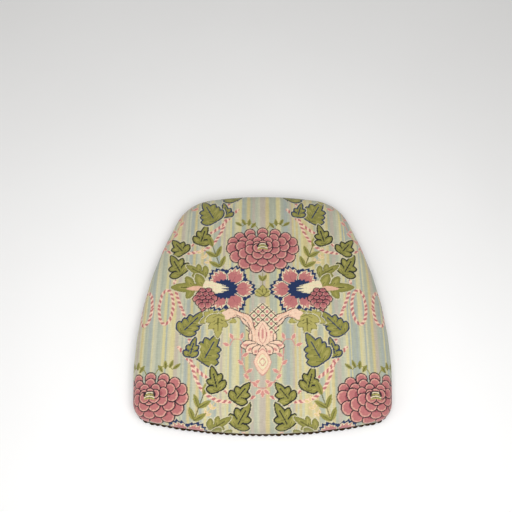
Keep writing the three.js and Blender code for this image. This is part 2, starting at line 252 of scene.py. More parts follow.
def pointed(w, part, base, tip, half, grow=0.0, blunt=0.75, skew=0.9):
    """Whether each point lies in a pointed oval that runs from base to tip."""
    a, b, length = along_axis(w, part, base, tip)
    s = np.clip((a + grow) / (length + 2 * grow), 0, 1)
    return np.abs(b) < (half + grow) * np.sin(np.pi * s ** skew) ** blunt - 1e-6


def blot(w, part, centre, size, angle=0.0):
    """How far out each point lies on an ellipse: 1 is its edge."""
    a, b = turned(w.x[part] - centre[0], w.y[part] - centre[1], angle)
    return np.hypot(a / size[0], b / size[1])


# ------------------------------------------------------------------ flowers
def scale_petal(w, x0, y0, angle, length, width):
    """A rounded petal, dark lined, its outer rim paler."""
    part = w.near(x0, y0, 1.4 * length)
    a, b = turned(w.x[part] - x0, w.y[part] - y0, angle)
    grown = np.hypot(a / (length + 1.5), b / (width + 1.5))
    inside = np.hypot(a / length, b / width)
    scallop = 0.035 * np.cos(7 * np.arctan2(b, a))
    w.paint(part, grown < 1.0, PLUM)
    w.paint(part, inside < 0.96, PETAL_RIM)
    core = np.hypot((a + 0.10 * length) / length, b / width)
    w.paint(part, (core < 0.90 + scallop) & (inside < 0.94), ROSE_SOFT)
    w.paint(part, (core < 0.78 + 2 * scallop) & (inside < 0.93), ROSE)
    shade = np.hypot((a + 0.75 * length) / length, b / width)
    w.paint(part, (shade < 0.55) & (inside < 0.93), ROSE_DEEP)


def peony(w, across=66.0, rise=36.0, fall=52.0):
    """Rings of petals round the stamens, fuller towards the front."""
    rings = ((1.0, 15, 0.5), (0.74, 12, 0.0), (0.50, 8, 0.5), (0.28, 6, 0.0))
    for scale, count, phase in rings:
        for k in range(count):
            angle = 2 * np.pi * (k + phase) / count - np.pi / 2
            high = rise if np.sin(angle) > 0 else fall
            size = across * (0.115 + 0.05 * scale) * (1.0 if np.sin(angle) < 0.3 else 0.8)
            x0 = (scale * across - size) * np.cos(angle)
            y0 = (scale * high - 0.8 * size) * np.sin(angle)
            out = np.arctan2(y0 * across / high, x0)
            scale_petal(w, x0, y0, out, size, size * 1.06)
    part = w.near(0, 0, 16)
    w.paint(part, blot(w, part, (0, 1), (11, 7)) < 1, PLUM)
    for step in range(4):
        y0 = 5 - 3.2 * step
        width = 6 + 1.6 * min(step, 2)
        arch = w.y[part] - y0 + 0.035 * w.x[part] ** 2
        here = (np.abs(arch) < 1.1) & (np.abs(w.x[part]) < width)
        w.paint(part, here, CREAM if step % 2 == 0 else OLIVE_LIGHT)


def ragged_petal(w, base, tip, half, grow, tooth, color):
    middle = ((base[0] + tip[0]) / 2, (base[1] + tip[1]) / 2)
    part = w.near(*middle, 0.6 * np.hypot(tip[0] - base[0], tip[1] - base[1]) + half + 8)
    a, b, length = along_axis(w, part, base, tip)
    fan = half * (0.38 + 0.62 * np.sin(0.5 * np.pi * np.clip(a / (0.62 * length), 0, 1)))
    reach = length + grow - 0.34 * length * (b / half) ** 2 - tooth * zigzag(b + 0.1 * a, 7.6)
    flank = fan + grow - 0.5 * tooth * zigzag(a, 8.5) * (a > 0.4 * length)
    w.paint(part, (a > -grow) & (a < reach) & (np.abs(b) < flank), color)


def ragged_flower(w):
    """Five flame-edged petals, bordered in navy, round a pale throat that opens outwards."""
    petals = [(around(FLOWER, 13, turn), around(FLOWER, FLOWER_REACH, turn), 16.0)
              for turn in np.linspace(50, 310, 5)]
    for grow, color in ((7.4, HALO), (6.2, NAVY)):
        for base, tip, half in petals:
            ragged_petal(w, base, tip, half, grow, 5.0, color)
    for base, tip, half in petals:
        for grow, tooth, color in ((1.9, 5.0, NAVY), (0.5, 5.0, CREAM), (-0.9, 8.0, ROSE)):
            ragged_petal(w, base, tip, half, grow, tooth, color)
    for base, tip, half in petals:
        middle = ((base[0] + tip[0]) / 2, (base[1] + tip[1]) / 2)
        part = w.near(*middle, 30)
        a, b, length = along_axis(w, part, base, tip)
        tip_side = (a > 0.60 * length) & (a < 0.80 * length) & (np.abs(b) < 0.62 * half)
        w.paint(part, tip_side & (zigzag(b + 0.1 * a + 3.8, 7.6) > 0.88), PEACH)
        w.paint(part, tip_side & (zigzag(b + 0.1 * a + 1.9, 3.8) > 0.80), ROSE_SOFT)
        w.paint(part, (np.abs(b) < 0.5) & (a > 0.12 * length) & (a < 0.45 * length), ROSE_DEEP)
    part = w.near(*around(FLOWER, 12, 0), FLOWER_REACH)
    throat = around(FLOWER, 8, 0)
    angle = np.arctan2(w.y[part] - throat[1], w.x[part] - throat[0])
    w.paint(part, blot(w, part, throat, (23, 18)) < 1 + 0.09 * np.cos(15 * angle), NAVY)
    a, b, _ = along_axis(w, part, FLOWER, around(FLOWER, FLOWER_REACH, 5))
    fan = (a > 0) & (a < 47 - 0.02 * b ** 2) & (np.abs(b) < 5.0 + 0.22 * a)
    spike = zigzag(b / (1 + 0.02 * a), 4.4) < 0.25 + 0.055 * a
    w.paint(part, fan & spike, CREAM)
    w.paint(part, fan & (a > 22) & (zigzag(b / (1 + 0.02 * a) + 1.2, 4.4) > 0.80), BLUSH)


def berries(w):
    x0, y0 = around(FLOWER, FLOWER_REACH, -20)
    part = w.near(x0, y0, 30)
    w.paint(part, pointed(w, part, (x0, y0 + 4), (x0 + 4, y0 - 27), 8, 1.0), PLUM)
    w.paint(part, pointed(w, part, (x0, y0 + 4), (x0 + 4, y0 - 26), 7.5), ROSE)
    for count, dy in ((2, 12), (3, 5), (4, -2), (3, -9), (2, -15)):
        for k in range(count):
            dx = (k - (count - 1) / 2) * 10.4
            scale_petal(w, x0 + dx, y0 + dy, -0.5 * np.pi, 5.6, 5.8)


# ------------------------------------------------------------------ leaves and stems
def plain_leaf(w, base, tip, half, fill=OLIVE, edge=None, rim=1.2):
    middle = ((base[0] + tip[0]) / 2, (base[1] + tip[1]) / 2)
    part = w.near(*middle, 0.55 * np.hypot(tip[0] - base[0], tip[1] - base[1]) + half)
    if edge is not None:
        w.paint(part, pointed(w, part, base, tip, half, rim), edge)
    body = pointed(w, part, base, tip, half)
    a, b, length = along_axis(w, part, base, tip)
    w.paint(part, body, fill)
    w.paint(part, body & (b > 0.3 * half) & (a < 0.8 * length), lighter(fill))
    w.paint(part, (np.abs(b) < 0.55) & (a > 0) & (a < 0.7 * length), OLIVE_DEEP)


def lighter(color, share=0.45):
    return tuple((1 - share) * c + share * d for c, d in zip(color, OLIVE_LIGHT))


def lobed_leaf(w, base, tip, width, pairs=2, edge=NAVY, fill=OLIVE, rim=2.5, pale=0.6):
    """A leaf with pairs of forward-pointing lobes, dark edged, with a broken midrib."""
    base, tip = np.array(base, float), np.array(tip, float)
    ahead = (tip - base) / np.linalg.norm(tip - base)
    aside = np.array((-ahead[1], ahead[0]))
    length = np.linalg.norm(tip - base)
    lobes = [(base - 0.02 * ahead * length, tip, 0.33 * width)]
    for k in range(pairs):
        root = base + ahead * length * (0.02 + 0.62 * k / pairs)
        reach = width * (1.0 - 0.42 * k / pairs)
        for side in (1, -1):
            forward = (0.24 + 0.05 * side - 0.02 * k) * length
            lobes.append((root, root + ahead * forward + aside * side * reach, 0.24 * reach + 1.4))
    middle = base + 0.5 * ahead * length
    part = w.near(*middle, 0.62 * length + 0.75 * width)
    for grow, color in ((rim + 1.7, HALO), (rim, edge), (0.0, fill)):
        inside = np.zeros(len(part), bool)
        for root, end, half in lobes:
            inside |= pointed(w, part, root, end, half, grow, blunt=0.62, skew=1.15)
        w.paint(part, inside, color)
    for index, (root, end, half) in enumerate(lobes):
        soft = pointed(w, part, root + 0.15 * (end - root), root + 0.85 * (end - root), 0.5 * half)
        w.paint(part, soft & inside, lighter(fill, pale if index % 2 else 0.4 * pale))
        a, b, reach = along_axis(w, part, root, end)
        streak = (np.abs(b) < 0.32 * half) & (a > 0.45 * reach) & (a < 0.78 * reach)
        w.paint(part, streak & (zigzag(b, 2.6) > 0.5) & inside, lighter(fill, 1.3 * pale))
    for root, end, half in lobes[1:]:
        a, b, reach = along_axis(w, part, root, end)
        w.paint(part, (np.abs(b) < 0.5) & (a > 0) & (a < 0.45 * reach) & inside, OLIVE_DEEP)
    a, b, _ = along_axis(w, part, base, tip)
    w.paint(part, (np.abs(b) < 1.0) & (a > 0.15 * length) & (a < 0.72 * length), edge)


def smooth_line(points, steps=12):
    """Points along a smooth curve through the given ones."""
    p = np.array(points, float)
    p = np.vstack([2 * p[0] - p[1], p, 2 * p[-1] - p[-2]])
    t = np.linspace(0, 1, steps, endpoint=False)[:, None]
    pieces = []
    for a, b, c, d in zip(p[:-3], p[1:-2], p[2:-1], p[3:]):
        pieces.append(0.5 * (2 * b + (c - a) * t + (2 * a - 5 * b + 4 * c - d) * t ** 2
                             + (3 * b - a - 3 * c + d) * t ** 3))
    return np.vstack(pieces + [p[-2:-1]])


def line_distance(w, points, reach):
    """For the points near a curve: which they are, and their distances from it and along it."""
    line = smooth_line(points)
    low, high = line.min(0), line.max(0)
    part = w.near(*((low + high) / 2), (high - low).max() / 2 + reach)
    x, y = w.x[part], w.y[part]
    best = np.full(len(part), 1e9)
    along = np.zeros(len(part))
    across = np.zeros(len(part))
    run = 0.0
    for a, b in zip(line[:-1], line[1:]):
        d = b - a
        length = np.hypot(*d)
        t = np.clip(((x - a[0]) * d[0] + (y - a[1]) * d[1]) / length ** 2, 0, 1)
        ox, oy = x - a[0] - t * d[0], y - a[1] - t * d[1]
        away = np.hypot(ox, oy)
        closer = away < best
        best[closer] = away[closer]
        along[closer] = (run + t * length)[closer]
        across[closer] = ((d[0] * oy - d[1] * ox) / length)[closer]
        run += length
    return part, best, along, across


def rope(w, points, half=2.9, pitch=9.4):
    """A cord of two colours, its rose bars slanting across a peach ground."""
    part, away, along, across = line_distance(w, points, half + 1)
    w.paint(part, away < half, BLUSH)
    bar = np.mod(along + 0.8 * across, pitch) < 0.52 * pitch
    w.paint(part, bar & (away < 0.92 * half), ROSE)


def stem(w, points, color, half=0.8):
    part, away, _, _ = line_distance(w, points, half + 1)
    w.paint(part, away < half, color)


def bud(w, x0, y0, angle, length=11.5, half=2.7, color=ROSE_SOFT):
    part = w.near(x0, y0, length + 3)
    dx, dy = 0.5 * length * np.cos(np.radians(angle)), 0.5 * length * np.sin(np.radians(angle))
    base, tip = (x0 - dx, y0 - dy), (x0 + dx, y0 + dy)
    w.paint(part, pointed(w, part, base, tip, half, 0.8), BLUSH)
    w.paint(part, pointed(w, part, base, tip, half), color)


# ------------------------------------------------------------------ the stand and its drop
def trellis(w):
    """Dark crossed lines over cream, a rose diamond in each opening."""
    part = w.near(0, -136, 34)
    x, y = w.x[part], w.y[part]
    wide = np.minimum(TRELLIS_TOP - y, TRELLIS_HALF) + 4
    net = (y < TRELLIS_TOP) & (y > TRELLIS_FOOT) & (np.abs(x) < wide)
    net &= np.abs(x) < TRELLIS_HALF + 0.8 * (y - TRELLIS_FOOT)
    w.paint(part, net, CREAM)
    p = zigzag(x + y - TRELLIS_TOP, TRELLIS_PITCH)
    q = zigzag(x - y + TRELLIS_TOP, TRELLIS_PITCH)
    w.paint(part, net & ((p + q) < 0.72), ROSE_SOFT)
    w.paint(part, net & (np.maximum(p, q) > 0.85), PLUM)


def arm(w):
    """One curling ribbon of the stand, from its outer curl in to the waist."""
    spine = [(15 + 42 * t ** 2, WAIST + 50 * np.sin(0.5 * np.pi * t)) for t in np.linspace(1, 0, 6)]
    part, away, along, across = line_distance(w, spine, 14)
    half = 6.6 + 1.9 * np.cos(along * 0.19) - 0.012 * along
    w.paint(part, away < half + 1.4, PLUM)
    w.paint(part, away < half, BLUSH)
    w.paint(part, (np.abs(across - 2.5) < 0.6) & (away < half) & (along > 8), PLUM)
    w.paint(part, (np.abs(across + 3.4) < 1.0) & (away < half) & (along > 14), PEACH)
    fold = (zigzag(along + 1.2 * np.abs(across), 13) > 0.86) & (away < half - 0.8)
    w.paint(part, fold, PEACH)
    for turn in (0, -60):
        bud(w, *around(spine[0], 8, turn), turn, 10, 4.2, BLUSH)


def stand(w):
    trellis(w)
    arm(w)
    part = w.near(0, -166, 30)
    w.paint(part, pointed(w, part, (0, -190), (0, -144), 13, blunt=0.6), BLUSH)
    w.paint(part, pointed(w, part, (0, -184), (0, -150), 6.5, 1.0), ROSE)
    w.paint(part, pointed(w, part, (0, -184), (0, -150), 6), BLUSH)
    w.paint(part, pointed(w, part, (0, -177), (0, -157), 2.4), ROSE_SOFT)
    for angle, length in ((-12, 38), (-34, 34), (-58, 29), (-90, 29)):
        tip = (length * np.cos(np.radians(angle)), FLARE + 0.85 * length * np.sin(np.radians(angle)))
        base = (0.25 * tip[0], FLARE + 0.25 * (tip[1] - FLARE))
        part = w.near(*tip, 46)
        w.paint(part, pointed(w, part, base, tip, 7.0, 1.4, skew=1.3), PLUM)
        w.paint(part, pointed(w, part, base, tip, 7.0, skew=1.3), BLUSH)
        core = (0.45 * base[0] + 0.55 * tip[0], 0.45 * base[1] + 0.55 * tip[1])
        end = (0.9 * tip[0], FLARE + 0.9 * (tip[1] - FLARE))
        w.paint(part, pointed(w, part, core, end, 2.4), ROSE_SOFT)


def medallion(w):
    """Rings of colour in a pointed oval, and the budded tendrils round it."""
    part = w.near(0, MEDALLION_Y, 30)
    across, along = MEDALLION_SIZE
    ring = np.abs(w.x[part] / across) ** 1.5 + np.abs((w.y[part] - MEDALLION_Y) / along) ** 1.3
    for reach, color in ((1.0, ROSE_SOFT), (0.90, BLUSH), (0.58, PEACH),
                         (0.48, CREAM), (0.22, ROSE_SOFT), (0.15, CREAM)):
        w.paint(part, ring < reach, color)
    hang = [(36 * np.cos(t), WAIST - 12 - 68 * np.sin(t)) for t in np.radians(np.linspace(0, 90, 8))]
    stem(w, hang, ROSE_SOFT)
    for index, place in enumerate(hang[1:-1]):
        turn = 45 if index % 2 else 150
        bud(w, *around(place, 7, turn), turn)
    reach = [around((44, WAIST - 8), 12, turn) for turn in (180, 120, 60, 0)]
    stem(w, reach, ROSE_SOFT)
    for place, turn in zip(reach[1:], (110, 60, 20)):
        bud(w, *around(place, 7, turn), turn)
    for turn in (-90, -40):
        bud(w, *around((0, hang[-1][1]), 9, turn), turn)


# ------------------------------------------------------------------ one half of a repeat
# where each leaf grows on the ring, in degrees; its length, width and direction; its lobes and edge
RING_LEAVES = (
    (54, 56, 23, 62, 3, NAVY),
    (14, 46, 19, 60, 2, INK),
    (-20, 56, 18, 135, 3, NAVY),
    (-34, 34, 12, 105, 2, NAVY),
    (-60, 42, 16, 75, 2, INK),
    (-72, 38, 16, 130, 2, INK),
)


def cords_and_twig(w):
    """What lies behind the leaves: a wavy cord in four pieces, a closed loop and a faint twig."""
    for first, last in ((-84, -45), (-45, -6), (-6, 33), (33, 72)):
        turns = np.linspace(first, last, 6)
        rope(w, [on_ring(turn, 1 + RING_WAVE * np.sin(np.radians(5 * turn))) for turn in turns])
    middle = on_ring(-4, 1.14)
    rope(w, [(middle[0] + 13 * np.cos(t), middle[1] + 32 * np.sin(t)) for t in np.linspace(0, 6.28, 9)])
    twig = [around(FLOWER, reach, 55) for reach in (62, 75, 88)]
    stem(w, twig, PALE_GOLD)
    for place in twig:
        for turn in (20, 90):
            bud(w, *around(place, 6, turn), turn, 8, 2.0, PALE_GOLD)


def ring_leaves(w):
    for turn, length, width, heading, pairs, edge in RING_LEAVES:
        root = on_ring(turn)
        lobed_leaf(w, root, around(root, length, heading), width, pairs, edge)


def flower_leaves(w):
    """Leaves that come out from behind the ragged flower, three of them pale."""
    for reach, turn, length, width in ((48, 32, 44, 16), (42, 4, 62, 26)):
        root = around(FLOWER, reach, turn)
        lobed_leaf(w, root, around(root, length, turn), width, 2, OLIVE_DEEP, rim=0.9)
    root = around(FLOWER, 42, 4)
    part = w.near(*around(root, 18, 0), 24)
    w.paint(part, pointed(w, part, root, around(root, 35, 0), 4.5), PEACH)
    root = around(FLOWER, 50, -70)
    for turn, length in ((205, 35), (335, 35), (270, 42)):
        lobed_leaf(w, root, around(root, length, turn), 0.5 * length, 2, OLIVE_DEEP, OLIVE_LIGHT, 0.9)


def sprig(w, foot, heading, length, pairs, leaf):
    """A straight sprig of pointed leaves in pairs, with one at its tip."""
    top = around(foot, length, heading)
    stem(w, (foot, top), OLIVE_DEEP)
    for step in range(pairs):
        joint = around(foot, length * step / pairs, heading)
        for side in (1, -1):
            plain_leaf(w, joint, around(joint, leaf, heading + 40 * side), 0.19 * leaf)
    plain_leaf(w, top, around(top, 1.1 * leaf, heading), 0.22 * leaf)


def curl(w):
    """A small hooked stem over the peony, with leaves in a fan."""
    root = (32, 32)
    stem(w, [around(root, 12 + 0.12 * turn, 60 + turn) for turn in (0, 40, 80, 120)], OLIVE)
    for turn in (60, 90, 120, 150):
        joint = around(root, 13, turn)
        plain_leaf(w, joint, around(joint, 15, turn - 25), 3.4)


def clover(w):
    root = (0, -98)
    stem(w, (root, (0, -55)), OLIVE)
    for turn in (90, 38):
        plain_leaf(w, root, around(root, 20, turn), 6.0, OLIVE_LIGHT, OLIVE_DEEP)
    plain_leaf(w, (0, -70), around((0, -70), 14, 60), 3.2)


def half_repeat(w):
    ring_leaves(w)
    flower_leaves(w)
    sprig(w, (76, -42), 70, 44, 2, 24)
    curl(w)
    clover(w)
    ragged_flower(w)
    berries(w)


def paint_all(w):
    """Draws the whole design, repeat by repeat, the stands and peonies over the rest."""
    steps = [(i, j) for i in range(-2, 3) for j in range(-2, 3) if (i + j) % 2 == 0]
    centres = [(FIRST_AXIS + i * HALF_DROP[0], FIRST_PEONY + j * HALF_DROP[1]) for i, j in steps]
    for layer in (cords_and_twig, half_repeat, stand, medallion):
        for centre in centres:
            for side in (1, -1):
                w.enter(centre, side)
                layer(w)
    for centre in centres:
        w.enter(centre, 1)
        w.here = np.arange(len(w.u))
        w.x, w.y = w.u - centre[0], w.v - centre[1]
        peony(w)
    return w.color


# ------------------------------------------------------------------ meshes
def mesh_object(name, points, faces, smooth=True):
    mesh = bpy.data.meshes.new(name)
    mesh.from_pydata([tuple(p) for p in points], [], [tuple(int(i) for i in f) for f in faces])
    mesh.validate()
    if smooth:
        mesh.shade_smooth()
    made = bpy.data.objects.new(name, mesh)
    bpy.context.scene.collection.objects.link(made)
    return made


def positions(made):
    flat = np.zeros(len(made.data.vertices) * 3)
    made.data.vertices.foreach_get("co", flat)
    return flat.reshape(-1, 3)


def loop_corners(mesh):
    """Which vertex each corner of a face belongs to."""
    corners = np.zeros(len(mesh.loops), int)
    mesh.loops.foreach_get("vertex_index", corners)
    return corners


def move_points(made, points):
    made.data.vertices.foreach_set("co", points.ravel())
    made.data.update()


def apply_modifiers(made):
    """Makes the shape that the modifiers give the object's own mesh."""
    graph = bpy.context.evaluated_depsgraph_get()
    mesh = bpy.data.meshes.new_from_object(made.evaluated_get(graph), depsgraph=graph)
    made.modifiers.clear()
    made.data = mesh


def subdivide(made, levels):
    modifier = made.modifiers.new("subdivision", "SUBSURF")
    modifier.levels = levels
    modifier.render_levels = levels
    apply_modifiers(made)


def surface_of(node):
    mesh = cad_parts[node].data
    points = [v.co.copy() for v in mesh.vertices]
    return BVHTree.FromPolygons(points, [tuple(p.vertices) for p in mesh.polygons])


def hit(guide, origin, direction):
    point, _, _, _ = guide.ray_cast(Vector(origin), Vector(direction), 2.0)
    if point is None:
        raise RuntimeError("a ray missed its CAD part")
    return np.array(point)


# ------------------------------------------------------------------ the outline
class Outline:
    """The edge of a CAD part at one height, seen from above, run anticlockwise from its front."""

    def __init__(self, guide, height, count=1440):
        ring = []
        for k in range(count):
            angle = 2 * math.pi * k / count - math.pi / 2
            out = np.array((math.cos(angle), math.sin(angle), 0.0))
            ring.append(hit(guide, out + (0, 0, height), -out)[:2])
        self.points = np.array(ring + ring[:1])
        step = np.hypot(*np.diff(self.points, axis=0).T)
        self.run = np.concatenate([[0], np.cumsum(step)])
        self.length = self.run[-1]

    def at(self, places):
        """Points, and the directions that face straight out there, at distances along the edge."""
        places = np.asarray(places, float)
        point, back, on = (self._along(places + d) for d in (0, -2 * MM, 2 * MM))
        tangent = on - back
        outward = np.stack([tangent[:, 1], -tangent[:, 0]], 1)
        return point, outward / np.linalg.norm(outward, axis=1)[:, None]

    def _along(self, places):
        places = np.mod(places, self.length)
        return np.stack([np.interp(places, self.run, self.points[:, i]) for i in (0, 1)], 1)

    def facing(self, direction):
        """How far along the edge it faces that way, in the half that lies to the right."""
        places = np.linspace(0, self.length / 2, 721)
        _, outward = self.at(places)
        turn = np.unwrap(np.arctan2(outward[:, 1], outward[:, 0]))
        return np.interp(math.atan2(direction[1], direction[0]), turn, places)


def edge_places(outline, across, back):
    """Distances along the edge of points evenly spaced between its four corners."""
    front = outline.facing((1, -1))
    rear = outline.facing((1, 0.7))
    whole = outline.length
    rows = (
        np.linspace(-front, front, across, endpoint=False),
        np.linspace(front, rear, back, endpoint=False),
        np.linspace(rear, whole - rear, across, endpoint=False),
        np.linspace(whole - rear, whole - front, back, endpoint=False),
    )
    return np.concatenate(rows)


def filled(ring, across, back, relax=120):
    """A grid of points inside a closed ring, whose own points stay the grid's edge."""
    front = ring[:across + 1]
    right = ring[across:across + back + 1]
    rear = ring[across + back:2 * across + back + 1][::-1]
    left = np.vstack([ring[2 * across + back:], ring[:1]])[::-1]
    s = np.linspace(0, 1, across + 1)[None, :, None]
    t = np.linspace(0, 1, back + 1)[:, None, None]
    grid = (1 - t) * front[None] + t * rear[None] + (1 - s) * left[:, None] + s * right[:, None]
    corners = ((1 - s) * (1 - t) * front[0] + s * (1 - t) * front[-1]
               + (1 - s) * t * rear[0] + s * t * rear[-1])
    grid = grid - corners
    for _ in range(relax):
        grid[1:-1, 1:-1] = 0.25 * (grid[:-2, 1:-1] + grid[2:, 1:-1] + grid[1:-1, :-2] + grid[1:-1, 2:])
    return grid


def grid_edge(across, back):
    """The grid's edge as places in it, in the order of the ring."""
    wide, deep = across + 1, back + 1
    front = [(0, i) for i in range(across)]
    right = [(j, wide - 1) for j in range(back)]
    rear = [(deep - 1, wide - 1 - i) for i in range(across)]
    left = [(deep - 1 - j, 0) for j in range(back)]
    return [j * wide + i for j, i in front + right + rear + left]


def grid_faces(across, back):
    wide = across + 1
    return [(j * wide + i, j * wide + i + 1, (j + 1) * wide + i + 1, (j + 1) * wide + i)
            for j in range(back) for i in range(across)]


def band_faces(rows):
    """Quads between rows of as many points each, every row closed."""
    faces = []
    for upper, lower in zip(rows[:-1], rows[1:]):
        for k in range(len(upper)):
            after = (k + 1) % len(upper)
            faces.append((upper[after], upper[k], lower[k], lower[after]))
    return faces


# ------------------------------------------------------------------ the cover
def cover_mesh(guide, outline):
    """One sheet: the top, the sides and the hem folded under, with its cloth coordinates."""
    places = edge_places(outline, GRID_ACROSS, GRID_BACK)
    edge, outward = outline.at(places)
    start = edge - SHOULDER * outward
    grid = filled(start, GRID_ACROSS, GRID_BACK)
    top = [hit(guide, (x, y, 1), (0, 0, -1)) for x, y in grid.reshape(-1, 2)]
    points = list(top)
    cloth = [tuple(p[:2]) for p in top]
    rows = [grid_edge(GRID_ACROSS, GRID_BACK)]
    before = np.array([top[i] for i in rows[0]])
    spent = np.zeros(len(edge))
    slopes = np.linspace(math.pi / 2, -math.pi / 2, SIDE_ROWS)[1:]
    for slope in slopes:
        now = []
        for (x, y), (nx, ny) in zip(start, outward):
            out = np.array((nx * math.cos(slope), ny * math.cos(slope), math.sin(slope)))
            now.append(hit(guide, np.array((x, y, SIDE_CENTRE)) + 0.2 * out, -out))
        before, spent = add_row(points, cloth, rows, np.array(now), before, spent, start, outward)
    for inset in HEM_INSETS:
        spots = edge - inset * outward
        now = np.array([hit(guide, (x, y, -1), (0, 0, 1)) for x, y in spots])
        before, spent = add_row(points, cloth, rows, now, before, spent, start, outward)
    faces = grid_faces(GRID_ACROSS, GRID_BACK) + band_faces(rows)
    return np.array(points), faces, np.array(cloth), rows, (places, outward)


def add_row(points, cloth, rows, now, before, spent, start, outward):
    spent = spent + np.linalg.norm(now - before, axis=1)
    rows.append(list(range(len(points), len(points) + len(now))))
    points.extend(now)
    cloth.extend(start + outward * spent[:, None])
    return now, spent


def swell(cover, held):
    """Lets the cloth settle over its filling under a little pressure, held at its nailed edge."""
    before = positions(cover)
    normals = np.array([v.normal for v in cover.data.vertices])
    group = cover.vertex_groups.new(name="held")
    for weight, members in held:
        group.add([int(i) for i in members], weight, "REPLACE")
    cloth = cover.modifiers.new("cloth", "CLOTH")
    cloth.settings.quality = 6
    cloth.settings.tension_stiffness = 25
    cloth.settings.compression_stiffness = 25
    cloth.settings.shear_stiffness = 10
    cloth.settings.bending_stiffness = 1
    cloth.settings.vertex_group_mass = "held"
    cloth.settings.pin_stiffness = 1
    cloth.settings.use_pressure = True
    cloth.settings.uniform_pressure_force = PRESSURE
    cloth.settings.effector_weights.gravity = 0
    cloth.collision_settings.use_self_collision = False
    scene = bpy.context.scene
    cloth.point_cache.frame_start = 1
    cloth.point_cache.frame_end = SETTLE_FRAMES
    for step in range(1, SETTLE_FRAMES + 1):
        scene.frame_set(step)
    graph = bpy.context.evaluated_depsgraph_get()
    settled = cover.evaluated_get(graph).to_mesh()
    after = np.zeros(len(settled.vertices) * 3)
    settled.vertices.foreach_get("co", after)
    cover.evaluated_get(graph).to_mesh_clear()
    cover.modifiers.clear()
    cover.vertex_groups.clear()
    scene.frame_set(1)
    moved = after.reshape(-1, 3) - before
    along = (moved * normals).sum(1)
    moved += normals * (np.maximum(along, -MAX_SINK) - along)[:, None]
    far = np.linalg.norm(moved, axis=1)[:, None]
    move_points(cover, before + moved * np.minimum(1, MAX_SWELL / np.maximum(far, 1e-9)))


def pucker(cover, outline, rows, columns):
    """Small drags where the nails pull the cloth in, and gathers where the hem turns a corner."""
    places, outward = columns
    points = positions(cover)
    rng = np.random.default_rng(3)
    nail_pull = 0.5 + 0.5 * np.cos(2 * np.pi * REAL_NAILS * places / outline.length)
    drag = PULL * nail_pull + 0.4 * PULL * rng.uniform(-1, 1, len(places))
    after, before = np.roll(outward, -1, axis=0), np.roll(outward, 1, axis=0)
    bend = np.linalg.norm(after - before, axis=1) / (2 * outline.length / len(places))
    corner = np.clip(bend / GATHER_BEND, 0, 1) ** 2
    fold = np.where(np.arange(len(places)) % 2 == 0, 1.0, -1.0) * corner
    for depth, row in enumerate(rows[1:]):
        height = points[row, 2]
        near = np.exp(-((height - NAIL_TOP) / (7 * MM)) ** 2) * (height > NAIL_TOP)
        points[row, :2] -= outward * (drag * near)[:, None]
        under = height < HEM_TOP
        covered = depth >= len(rows) - 4
        points[row, 2] += np.where(under, fold * GATHER * (0.3 if covered else 1.0), 0.0)
    move_points(cover, points)


def polygon_area(points):
    x, y = points.T
    return 0.5 * abs(np.sum(x * np.roll(y, -1) - y * np.roll(x, -1)))


def build_cover():
    guide = surface_of("cover")
    outline = Outline(guide, WIDEST_AT)
    points, faces, cloth, rows, columns = cover_mesh(guide, outline)
    cover = mesh_object("seat_cover", points, faces)
    mesh = cover.data
    layer = mesh.uv_layers.new(name="OFBake")
    corners = loop_corners(mesh)
    reach = np.abs(cloth).max() * 1.01
    layer.data.foreach_set("uv", (0.5 + 0.5 * cloth[corners] / reach).ravel())
    normals = np.array([v.normal for v in mesh.vertices])
    low = points[:, 2] < SLACK_FROM
    shrink = np.where(low, 0.0, SLACK)
    move_points(cover, points - normals * shrink[:, None])
    hem = np.nonzero(points[:, 2] < HEM_TOP)[0]
    nailed = np.nonzero((points[:, 2] >= HEM_TOP) & (points[:, 2] < NAIL_TOP))[0]
    swell(cover, ((1.0, hem), (1.0, nailed)))
    pucker(cover, outline, rows, columns)
    subdivide(cover, 2)
    mesh = cover.data
    corners = loop_corners(mesh)
    uv = np.zeros(len(mesh.loops) * 2)
    mesh.uv_layers["OFBake"].data.foreach_get("uv", uv)
    where = np.zeros((len(mesh.vertices), 2))
    where[corners] = uv.reshape(-1, 2)
    place = (where - 0.5) * 2 * reach / MM
    weave = Weave(place[:, 0], place[:, 1])
    paint_all(weave)
    store_yarn(mesh, weave, place)
    cut = cloth.max(axis=0) - cloth.min(axis=0)
    return cover, outline, cut, polygon_area(cloth[rows[-1]])


def store_yarn(mesh, weave, place):
    yarn = mesh.attributes.new("yarn", "FLOAT_COLOR", "POINT")
    curved = ((weave.color + 0.055) / 1.055) ** 2.4
    linear = np.where(weave.color <= 0.04045, weave.color / 12.92, curved)
    yarn.data.foreach_set("color", np.hstack([linear, np.ones((len(linear), 1))]).ravel())
    figure = mesh.attributes.new("figure", "FLOAT", "POINT")
    figure.data.foreach_set("value", weave.raised)
    spot = mesh.attributes.new("cloth_mm", "FLOAT_VECTOR", "POINT")
    spot.data.foreach_set("vector", np.hstack([place, np.zeros((len(place), 1))]).ravel())


# ------------------------------------------------------------------ nails and strip
def lathe(profile, turns, centre, outward, faces, points, dent):
    """Adds a turned shape: profile is (radius, height) pairs, from its foot to its top."""
    out = np.array(outward)
    side = np.cross((0, 0, 1), out)
    up = np.cross(out, side)
    first = len(points)
    for radius, height in profile[:-1]:
        for k in range(turns):
            angle = 2 * math.pi * k / turns
            grow = 1 + dent(angle)
            spoke = math.cos(angle) * side + math.sin(angle) * up
            points.append(centre + out * height + grow * radius * spoke)
    points.append(centre + out * profile[-1][1])
    last = len(points) - 1
    for j in range(len(profile) - 2):
        for k in range(turns):
            a, b = first + j * turns + k, first + j * turns + (k + 1) % turns
            faces.append((a, b, b + turns, a + turns))
    ring = first + (len(profile) - 2) * turns
    for k in range(turns):
        faces.append((ring + k, ring + (k + 1) % turns, last))


